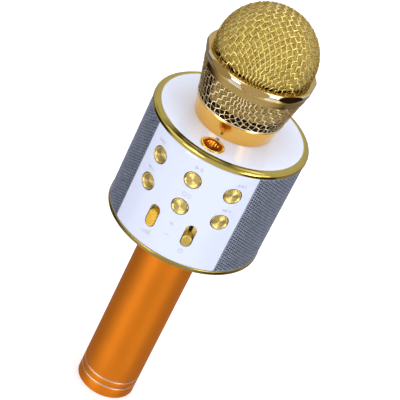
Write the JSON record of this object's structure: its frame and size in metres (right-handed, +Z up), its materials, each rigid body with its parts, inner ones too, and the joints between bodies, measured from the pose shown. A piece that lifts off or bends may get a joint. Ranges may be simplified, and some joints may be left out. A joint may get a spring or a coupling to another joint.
{
  "type": "karaoke microphone",
  "caption": "Handheld wireless karaoke microphone: tube handle, round speaker body with push buttons and slide controls, and a woven mesh head with foam liner.",
  "frame": {"origin": "centre of the handle's flat end, where the microphone stands", "axes": "+Z up the handle's axis to the mesh head, the control panel faces -Y, +X to the panel's right as seen from the front"},
  "size_m": [0.082, 0.082, 0.2444],
  "materials": {
    "handle_anodised": "satin anodised, orange, with bright cut grooves",
    "gold_trim": "polished, gold plated",
    "gold_neck": "polished, orange gold plated",
    "gold_button": "spun brushed face with a polished bevel, gold plated",
    "gold_mesh": "woven wire, gold lacquered",
    "foam": "open cell foam, mustard gold",
    "panel_white": "gloss, white",
    "speaker_mesh": "perforated sheet, silver grey",
    "black_plastic": "moulded, black",
    "circuit_board": "green solder mask",
    "steel_parts": "bright zinc plated",
    "magnet": "dark, ground",
    "paper_cone": "pressed pulp, dark grey",
    "battery_wrap": "shrink film, blue",
    "slot_recess": "polished, dark bronze",
    "slider_orange": "gloss, orange gold, ribbed",
    "status_lens": "small smoked lens"
  },
  "bodies": {
    "base": {"handle_tube": "handle_anodised", "end_cap": "black_plastic", "battery_cradle": "black_plastic", "battery_cell": "battery_wrap", "battery_contacts": "steel_parts", "handle_adaptor": "black_plastic", "adaptor_screws": "steel_parts", "bottom_cover": "panel_white", "cover_screws": "steel_parts", "bottom_trim_ring": "gold_trim", "speaker_chassis": "black_plastic", "front_panel": "panel_white", "rear_panel": "panel_white", "speaker_mesh_left": "speaker_mesh", "speaker_mesh_right": "speaker_mesh", "speaker_basket_left": "steel_parts", "speaker_basket_right": "steel_parts", "speaker_cone_left": "paper_cone", "speaker_cone_right": "paper_cone", "speaker_magnet_left": "magnet", "speaker_magnet_right": "magnet", "speaker_screws": "steel_parts", "main_board": "circuit_board", "board_chips": "black_plastic", "aux_jack": "black_plastic", "charging_port": "steel_parts", "card_slot": "steel_parts", "button_board": "circuit_board", "tact_switches": "steel_parts", "slider_board": "circuit_board", "slide_switch_bodies": "steel_parts", "slot_liners": "slot_recess", "top_plate": "panel_white", "top_trim_ring": "gold_trim", "badge": "gold_trim", "status_light": "status_lens", "neck_collar": "gold_neck", "neck_sleeve": "steel_parts", "capsule_mount": "black_plastic", "microphone_capsule": "steel_parts"},
    "head": {"grille_base_ring": "gold_trim", "grille_lower_mesh": "gold_mesh", "grille_band": "gold_trim", "grille_dome_mesh": "gold_mesh", "foam_liner": "foam"},
    "previous_button": {"previous_button": "gold_button"},
    "play_button": {"play_button": "gold_button"},
    "next_button": {"next_button": "gold_button"},
    "volume_down_button": {"volume_down_button": "gold_button"},
    "mode_button": {"mode_button": "gold_button"},
    "volume_up_button": {"volume_up_button": "gold_button"},
    "level_slider": {"level_slider": "slider_orange"},
    "power_switch": {"power_switch": "gold_trim"}
  },
  "joints": [
    {"name": "head_lift_off", "type": "slide", "parent": "base", "child": "head", "axis": [0, 0, 1], "range_m": [0, 0.04]},
    {"name": "previous_press", "type": "slide", "parent": "base", "child": "previous_button", "axis": [0.4939, 0.8695, 0], "range_m": [0, 0.0005], "stiffness_N_per_m": 1500},
    {"name": "play_press", "type": "slide", "parent": "base", "child": "play_button", "axis": [0, 1, 0], "range_m": [0, 0.0005], "stiffness_N_per_m": 1500},
    {"name": "next_press", "type": "slide", "parent": "base", "child": "next_button", "axis": [-0.4939, 0.8695, 0], "range_m": [0, 0.0005], "stiffness_N_per_m": 1500},
    {"name": "volume_down_press", "type": "slide", "parent": "base", "child": "volume_down_button", "axis": [0.4939, 0.8695, 0], "range_m": [0, 0.0005], "stiffness_N_per_m": 1500},
    {"name": "mode_press", "type": "slide", "parent": "base", "child": "mode_button", "axis": [0, 1, 0], "range_m": [0, 0.0005], "stiffness_N_per_m": 1500},
    {"name": "volume_up_press", "type": "slide", "parent": "base", "child": "volume_up_button", "axis": [-0.4939, 0.8695, 0], "range_m": [0, 0.0005], "stiffness_N_per_m": 1500},
    {"name": "level_slide", "type": "slide", "parent": "base", "child": "level_slider", "axis": [0, 0, 1], "range_m": [0, 0.0028]},
    {"name": "power_slide", "type": "slide", "parent": "base", "child": "power_switch", "axis": [0, 0, 1], "range_m": [0, 0.006]}
  ]
}
